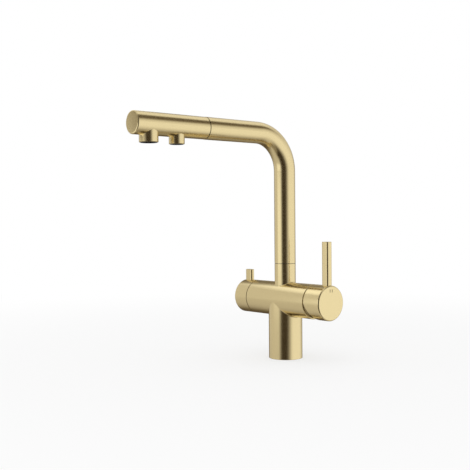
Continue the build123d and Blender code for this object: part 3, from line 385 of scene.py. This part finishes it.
def makeArc(spec):
    # a glowing upright band with soft edges, which only gloss sees
    mesh = bpy.data.meshes.new(spec["name"])
    form = bmesh.new()
    first, last = spec["around"]
    low, high = spec["height"]
    previous = None
    for step in range(stepsPerArc + 1):
        angle = math.radians(first + (last - first) * step / stepsPerArc)
        x = spec["radius"] * math.cos(angle)
        y = spec["radius"] * math.sin(angle)
        pair = (form.verts.new((x, y, low)), form.verts.new((x, y, high)))
        if previous:
            form.faces.new((previous[0], pair[0], pair[1], previous[1]))
        previous = pair
    form.to_mesh(mesh)
    form.free()
    arc = bpy.data.objects.new(spec["name"], mesh)
    bpy.context.scene.collection.objects.link(arc)
    material, tree = newMaterial(spec["name"])
    coords = addNode(tree, "ShaderNodeTexCoord")
    place = splitVector(tree, coords.outputs["Object"])
    around = azimuthOf(tree, place)
    onFirst = rampNode(tree, around, *spec["firstFade"])
    onLast = rampNode(tree, around, *spec["lastFade"], 1.0, 0.0)
    onLow = rampNode(tree, place["Z"], *spec["lowFade"])
    onHigh = rampNode(tree, place["Z"], *spec["highFade"], 1.0, 0.0)
    solid = product(tree, product(tree, onFirst, onLast), product(tree, onLow, onHigh))
    clear = addNode(tree, "ShaderNodeBsdfTransparent")
    glow = addNode(tree, "ShaderNodeEmission")
    glow.inputs["Color"].default_value = spec["tint"]
    glow.inputs["Strength"].default_value = spec["level"]
    cover = addNode(tree, "ShaderNodeMixShader")
    wire(tree, solid, cover.inputs[0])
    wire(tree, clear.outputs[0], cover.inputs[1])
    wire(tree, glow.outputs[0], cover.inputs[2])
    output = addNode(tree, "ShaderNodeOutputMaterial")
    wire(tree, cover.outputs[0], output.inputs["Surface"])
    mesh.materials.append(material)
    showToGlossOnly(arc)


makeWorld(studio)
makeFloor(studio)
makeLamp(studio)
for nearCard in nearCards:
    makeNearCard(nearCard)
for arc in arcs:
    makeArc(arc)
print("studio set up")


# brushed gold, the coat of every outer piece
goldFinish = {
    "colour": (0.875, 0.735, 0.415),
    "shade": (0.95, 1.03),
    "roughness": (0.17, 0.24),
    "linesPerMetre": 7000.0,
    "lineStretch": 45.0,
    "slantShare": 0.5,
    "flatEnd": (0.80, 0.97),  # how squarely a drum's end faces its axis
    "strokeDetail": 3.0,
    "strokeRoughness": 0.6,
    "grooveDepth": 0.0000027,
    "grooveStrength": 0.5,
    "mottleScale": 420.0,
    "mottleDetail": 2.0,
    "mottleShare": 0.22,
    "wear": (0.3, 0.7),
}
bend = {"height": 0.2965, "radius": 0.0485}
crossBody = {"height": 0.0782, "radius": 0.0225, "crossing": (0.0002, 0.0012)}


def linesAround(tree, place, axis, spec):
    # brushing that runs round one axis: fine steps along it, long strokes across it
    parts = []
    for index, name in enumerate("xyz"):
        factor = spec["linesPerMetre"] if name == axis else spec["lineStretch"]
        parts.append(product(tree, place[index], factor))
    return joinVector(tree, *parts)


def linesAlong(tree, place, axis, spec):
    # brushing that runs lengthwise
    parts = []
    for index, name in enumerate("xyz"):
        factor = spec["lineStretch"] if name == axis else spec["linesPerMetre"]
        parts.append(product(tree, place[index], factor))
    return joinVector(tree, *parts)


def mixVector(tree, share, first, second):
    node = addNode(tree, "ShaderNodeMix", data_type="VECTOR")
    wire(tree, share, node.inputs["Factor"])
    wire(tree, first, node.inputs["A"])
    wire(tree, second, node.inputs["B"])
    return node.outputs["Result"]


def drumLines(axis):
    # round the drum, and straight up and down on its flat end
    def lay(tree, place, normal, spec):
        index = "xyz".index(axis)
        flat = rampNode(tree, mathNode(tree, "ABSOLUTE", normal[index]), *spec["flatEnd"])
        side = linesAround(tree, place, axis, spec)
        return mixVector(tree, flat, side, linesAlong(tree, place, "z", spec))
    return lay


def castingLines(tree, place, normal, spec):
    # round the cross body inside its radius, and round the column and the stub elsewhere
    down = mathNode(tree, "SUBTRACT", place[2], crossBody["height"])
    square = mathNode(tree, "ADD", product(tree, place[1], place[1]), product(tree, down, down))
    span = mathNode(tree, "SQRT", square)
    start, end = (crossBody["radius"] + step for step in crossBody["crossing"])
    outside = rampNode(tree, span, start, end)
    barLines = linesAround(tree, place, "x", spec)
    return mixVector(tree, outside, barLines, linesAround(tree, place, "z", spec))


def spoutLines(tree, place, normal, spec):
    # round the bent tube: the distance along its middle line counts the strokes
    inward = mathNode(tree, "ADD", place[1], bend["radius"])
    above = mathNode(tree, "SUBTRACT", place[2], bend["height"] - bend["radius"])
    riser = mathNode(tree, "MINIMUM", above, 0.0)
    arm = mathNode(tree, "MINIMUM", inward, 0.0)
    rise = mathNode(tree, "MAXIMUM", above, 0.0)
    turn = mathNode(tree, "ARCTAN2", rise, mathNode(tree, "MAXIMUM", inward, 0.0))
    turned = mathNode(tree, "ADD", riser, product(tree, turn, bend["radius"]))
    path = mathNode(tree, "SUBTRACT", turned, arm)
    slant = mathNode(tree, "ADD", place[1], place[2])
    return joinVector(tree, product(tree, path, spec["linesPerMetre"]),
                      product(tree, place[0], spec["lineStretch"]),
                      product(tree, slant, spec["lineStretch"] * spec["slantShare"]))


def leverLines(tree, place, normal, spec):
    return linesAlong(tree, place, "z", spec)


def finishShader(tree, colour, shades, shadeFactor, roughness, metallic, relief, strength, depth):
    # the part that all finishes share: two shades of one colour, a gloss and a fine relief
    shader = addNode(tree, "ShaderNodeBsdfPrincipled")
    shader.inputs["Metallic"].default_value = metallic
    shade = addNode(tree, "ShaderNodeMix", data_type="RGBA")
    for socket, share in zip(("A", "B"), shades):
        shade.inputs[socket].default_value = tuple(part * share for part in colour) + (1.0,)
    wire(tree, shadeFactor, shade.inputs["Factor"])
    wire(tree, shade.outputs["Result"], shader.inputs["Base Color"])
    wire(tree, roughness, shader.inputs["Roughness"])
    bump = addNode(tree, "ShaderNodeBump")
    bump.inputs["Strength"].default_value = strength
    bump.inputs["Distance"].default_value = depth
    wire(tree, relief, bump.inputs["Height"])
    wire(tree, bump.outputs["Normal"], shader.inputs["Normal"])
    output = addNode(tree, "ShaderNodeOutputMaterial")
    wire(tree, shader.outputs[0], output.inputs["Surface"])


def brushedGold(name, lay, spec):
    material, tree = newMaterial(name)
    coords = addNode(tree, "ShaderNodeTexCoord")
    place = splitVector(tree, coords.outputs["Object"])
    normal = splitVector(tree, coords.outputs["Normal"])
    strokes = addNode(tree, "ShaderNodeTexNoise")
    strokes.inputs["Scale"].default_value = 1.0  # the vector is scaled already
    strokes.inputs["Detail"].default_value = spec["strokeDetail"]
    strokes.inputs["Roughness"].default_value = spec["strokeRoughness"]
    wire(tree, lay(tree, place, normal, spec), strokes.inputs["Vector"])
    mottle = addNode(tree, "ShaderNodeTexNoise")
    mottle.inputs["Scale"].default_value = spec["mottleScale"]
    mottle.inputs["Detail"].default_value = spec["mottleDetail"]
    wire(tree, coords.outputs["Object"], mottle.inputs["Vector"])
    # strokes and a faint unevenness of the coat drive colour and gloss together
    fine = product(tree, strokes.outputs["Fac"], 1.0 - spec["mottleShare"])
    broad = product(tree, mottle.outputs["Fac"], spec["mottleShare"])
    wear = mathNode(tree, "ADD", fine, broad)
    shadeFactor = rampNode(tree, wear, *spec["wear"])
    roughness = rampNode(tree, wear, *spec["wear"], *spec["roughness"])
    finishShader(tree, spec["colour"], spec["shade"], shadeFactor, roughness, 1.0,
                 strokes.outputs["Fac"], spec["grooveStrength"], spec["grooveDepth"])
    return material


goldCasting = brushedGold("brushedGoldCasting", castingLines, goldFinish)
goldSpout = brushedGold("brushedGoldSpout", spoutLines, goldFinish)
goldDrum = brushedGold("brushedGoldDrum", drumLines("x"), goldFinish)
goldHead = brushedGold("brushedGoldHead", drumLines("y"), goldFinish)
goldLever = brushedGold("brushedGoldLever", leverLines, goldFinish)
# painted shade: the cartridge dome in the gap behind the handle gets a darker, rougher copy of
# the gold
domeShadeFinish = {**goldFinish, "colour": (0.36, 0.28, 0.14), "roughness": (0.24, 0.32)}
shadedDomeGold = brushedGold("paintedShadeDomeGold", drumLines("x"), domeShadeFinish)
# painted light: the handle gets a slightly lighter copy of the gold, standing in for brighter
# reflection on its drum
handleLitFinish = {**goldFinish, "colour": (0.91, 0.765, 0.43)}
litGoldHandle = brushedGold("brushedGoldHandleLit", drumLines("x"), handleLitFinish)
print("brushed gold mixed")


# every other finish is one colour with a fine grain in it
grainRule = {
    "detail": 4.0,
    "shades": (0.86, 1.0),
    "shadeRange": (0.3, 0.65),
    "glossRange": (0.3, 0.7),
    "glossShares": (0.82, 1.12),
    "strength": 0.5,
}


def grainedFinish(name, spec):
    material, tree = newMaterial(name)
    coords = addNode(tree, "ShaderNodeTexCoord")
    grain = addNode(tree, "ShaderNodeTexNoise")
    grain.inputs["Scale"].default_value = spec["scale"]
    grain.inputs["Detail"].default_value = grainRule["detail"]
    mapping = addNode(tree, "ShaderNodeMapping")
    mapping.inputs["Scale"].default_value = spec.get("stretch", (1.0, 1.0, 1.0))
    wire(tree, coords.outputs["Object"], mapping.inputs["Vector"])
    wire(tree, mapping.outputs["Vector"], grain.inputs["Vector"])
    relief = grain.outputs["Fac"]
    smoothest, roughest = (spec["roughness"] * share for share in grainRule["glossShares"])
    shadeFactor = rampNode(tree, relief, *grainRule["shadeRange"])
    roughness = rampNode(tree, relief, *grainRule["glossRange"], smoothest, roughest)
    finishShader(tree, spec["colour"], grainRule["shades"], shadeFactor, roughness,
                 spec["metallic"], relief, grainRule["strength"], spec["depth"])
    return material


turnedBrass = grainedFinish("turnedBrass", {
    "colour": (0.74, 0.57, 0.29), "metallic": 1.0, "roughness": 0.27,
    "scale": 90.0, "stretch": (1.0, 1.0, 60.0), "depth": 0.000006})
turnedSteel = grainedFinish("turnedSteel", {
    "colour": (0.60, 0.60, 0.58), "metallic": 1.0, "roughness": 0.26,
    "scale": 90.0, "stretch": (1.0, 60.0, 1.0), "depth": 0.000004})
groundCeramic = grainedFinish("groundCeramic", {
    "colour": (0.84, 0.83, 0.79), "metallic": 0.0, "roughness": 0.22,
    "scale": 2600.0, "depth": 0.000002})
mouldedPale = grainedFinish("mouldedPale", {
    "colour": (0.76, 0.76, 0.72), "metallic": 0.0, "roughness": 0.44,
    "scale": 1500.0, "depth": 0.000012})
mouldedDark = grainedFinish("mouldedDark", {
    "colour": (0.026, 0.025, 0.024), "metallic": 0.0, "roughness": 0.42,
    "scale": 1500.0, "depth": 0.000012})
sealRubber = grainedFinish("sealRubber", {
    "colour": (0.014, 0.014, 0.014), "metallic": 0.0, "roughness": 0.62,
    "scale": 1800.0, "depth": 0.000016})
nylonBraid = grainedFinish("nylonBraid", {
    "colour": (0.23, 0.23, 0.235), "metallic": 0.0, "roughness": 0.46,
    "scale": 3000.0, "stretch": (1.0, 0.25, 1.0), "depth": 0.00003})
markInk = grainedFinish("markInk", {
    "colour": (0.08, 0.048, 0.018), "metallic": 0.0, "roughness": 0.5,
    "scale": 4000.0, "depth": 0.000004})
print("plain finishes mixed")

finishes = {
    "brushed_gold": goldDrum,
    "raw_brass": turnedBrass,
    "stainless": turnedSteel,
    "ceramic": groundCeramic,
    "white_plastic": mouldedPale,
    "dark_plastic": mouldedDark,
    "seal_rubber": sealRubber,
    "hose_braid": nylonBraid,
}
goldByPiece = {
    "tap_body": goldCasting,
    "spout_tube": goldSpout,
    "head_shell": goldHead,
    "head_end_cap": goldHead,
    "mixer_lever": goldLever,
    "filter_lever": goldLever,
    "cartridge_dome": shadedDomeGold,
    "mixer_handle": litGoldHandle,
}
for part in frame["record"]["subparts"]:
    finish = goldByPiece.get(part["node"], finishes[part["material_slot"]])
    for place in nodes[part["node"]].material_slots:
        place.material = finish
print("finishes laid on")


# pieces too fine for the construction model

def addPiece(name, form, body, finish):
    mesh = bpy.data.meshes.new(name)
    bmesh.ops.recalc_face_normals(form, faces=form.faces)
    for face in form.faces:
        face.smooth = True
    form.to_mesh(mesh)
    form.free()
    mesh.materials.append(finish)
    piece = bpy.data.objects.new(name, mesh)
    bpy.context.scene.collection.objects.link(piece)
    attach(piece, body)


def skin(form, lower, upper, closed):
    # four-sided faces between two rows of points
    count = len(lower)
    for index in range(count if closed else count - 1):
        following = (index + 1) % count
        form.faces.new((lower[index], lower[following], upper[following], upper[index]))


handleMarks = {
    "face": 0.08492,
    "height": 0.0939,
    "places": (-0.0019, 0.0019),
    "width": 0.0010,
    "length": 0.0042,
    "thickness": 0.00006,
    "endSteps": 7,
    # each ring's share of the thickness, of the width and of the length
    "rings": ((0.0, 1.0, 1.0), (0.7, 1.0, 1.0), (1.0, 0.82, 0.97)),
}


def makeHandleMarks(spec):
    # two short upright strokes near the top of the handle's face, with rounded ends
    form = bmesh.new()
    half = spec["width"] / 2
    reach = spec["length"] / 2 - half
    middle = spec["height"]
    for side in spec["places"]:
        outline = []
        for end, start in ((reach, 0.0), (-reach, math.pi)):
            for step in range(spec["endSteps"]):
                angle = start + math.pi * step / (spec["endSteps"] - 1)
                y = side + half * math.cos(angle)
                outline.append((y, middle + end + half * math.sin(angle)))
        rings = []
        for depth, narrow, short in spec["rings"]:
            x = spec["face"] - spec["thickness"] * (1.0 - depth)
            ring = [form.verts.new((x, side + (y - side) * narrow, middle + (z - middle) * short))
                    for y, z in outline]
            rings.append(ring)
        for lower, upper in zip(rings, rings[1:]):
            skin(form, lower, upper, True)
        form.faces.new(rings[-1])
        form.faces.new(list(reversed(rings[0])))
    addPiece("handleMarks", form, "mixer_handle", markInk)


portThreads = {
    "circleRadius": 0.0136,
    "spreadDegrees": 42.0,
    "portRadius": 0.00352,
    "portFrom": 0.0304,
    "portTo": 0.0396,
    "studRadius": 0.00342,
    "studFrom": 0.0304,
    "studTo": 0.0516,
    "pitch": 0.001,
    "ridge": 0.00042,
    "flanks": ((0.0, -0.42), (1.0, -0.08), (1.0, 0.08), (0.0, 0.42)),  # shares of ridge and pitch
    "stepsPerTurn": 28,
    "runOutSteps": 10.0,
}


def addThread(form, centre, radius, low, high, spec):
    # a helical ridge inside a tapped hole
    turns = (high - low) / spec["pitch"]
    steps = int(turns * spec["stepsPerTurn"])
    previous = None
    for step in range(steps + 1):
        angle = 2 * math.pi * step / spec["stepsPerTurn"]
        height = low + (high - low) * step / steps
        fade = min(1.0, step / spec["runOutSteps"], (steps - step) / spec["runOutSteps"])
        ring = []
        for share, offset in spec["flanks"]:
            reach = radius - spec["ridge"] * share * fade
            x = centre[0] + reach * math.cos(angle)
            y = centre[1] + reach * math.sin(angle)
            ring.append(form.verts.new((x, y, height + offset * spec["pitch"])))
        if previous:
            skin(form, previous, ring, False)
        previous = ring


def makePortThreads(spec):
    form = bmesh.new()
    circle = spec["circleRadius"]
    spread = spec["spreadDegrees"]
    for degrees in (0.0, 180.0, spread, -spread, 180.0 - spread):
        angle = math.radians(degrees)
        centre = (circle * math.cos(angle), circle * math.sin(angle))
        addThread(form, centre, spec["portRadius"], spec["portFrom"], spec["portTo"], spec)
    addThread(form, (0.0, circle), spec["studRadius"], spec["studFrom"], spec["studTo"], spec)
    addPiece("portThreads", form, "tap_base", turnedBrass)


hoseSleeve = {
    "axisHeight": 0.2965,
    "from": -0.0535,
    "to": -0.1485,
    "radius": 0.00722,
    "wave": 0.00011,
    "carriers": 18,
    "turnLength": 0.034,
    "strandWidth": 0.00098,
    "strandThickness": 0.00022,
    "section": ((-0.5, 0.0), (-0.3, 1.0), (0.3, 1.0), (0.5, 0.0)),  # shares of a strand's size
    "samplesPerCrossing": 4,
}


def makeHoseSleeve(spec):
    # a woven sleeve: two sets of flat strands wind opposite ways, over and under each other
    form = bmesh.new()
    length = abs(spec["to"] - spec["from"])
    crossings = 2 * spec["carriers"] * length / spec["turnLength"]
    samples = int(crossings * spec["samplesPerCrossing"])
    lean = math.atan2(2 * math.pi * spec["radius"], spec["turnLength"])
    for sense in (1, -1):
        for carrier in range(spec["carriers"]):
            start = 2 * math.pi * carrier / spec["carriers"]
            previous = None
            for sample in range(samples + 1):
                travel = sample / samples
                along = spec["from"] + (spec["to"] - spec["from"]) * travel
                angle = start + sense * 2 * math.pi * travel * length / spec["turnLength"]
                over = sense * math.sin(math.pi * crossings * travel / 2 + math.pi * carrier)
                ring = []
                for across, rise in spec["section"]:
                    sideways = across * spec["strandWidth"]
                    swing = sideways * math.cos(lean) / spec["radius"]
                    slide = -sense * sideways * math.sin(lean)
                    reach = spec["radius"] + spec["wave"] * over + rise * spec["strandThickness"]
                    x = reach * math.cos(angle + swing)
                    z = spec["axisHeight"] + reach * math.sin(angle + swing)
                    ring.append(form.verts.new((x, along - slide, z)))
                if previous:
                    skin(form, previous, ring, False)
                previous = ring
    addPiece("hoseSleeve", form, "head", nylonBraid)


makeHandleMarks(handleMarks)
makePortThreads(portThreads)
makeHoseSleeve(hoseSleeve)
print("fine pieces made")
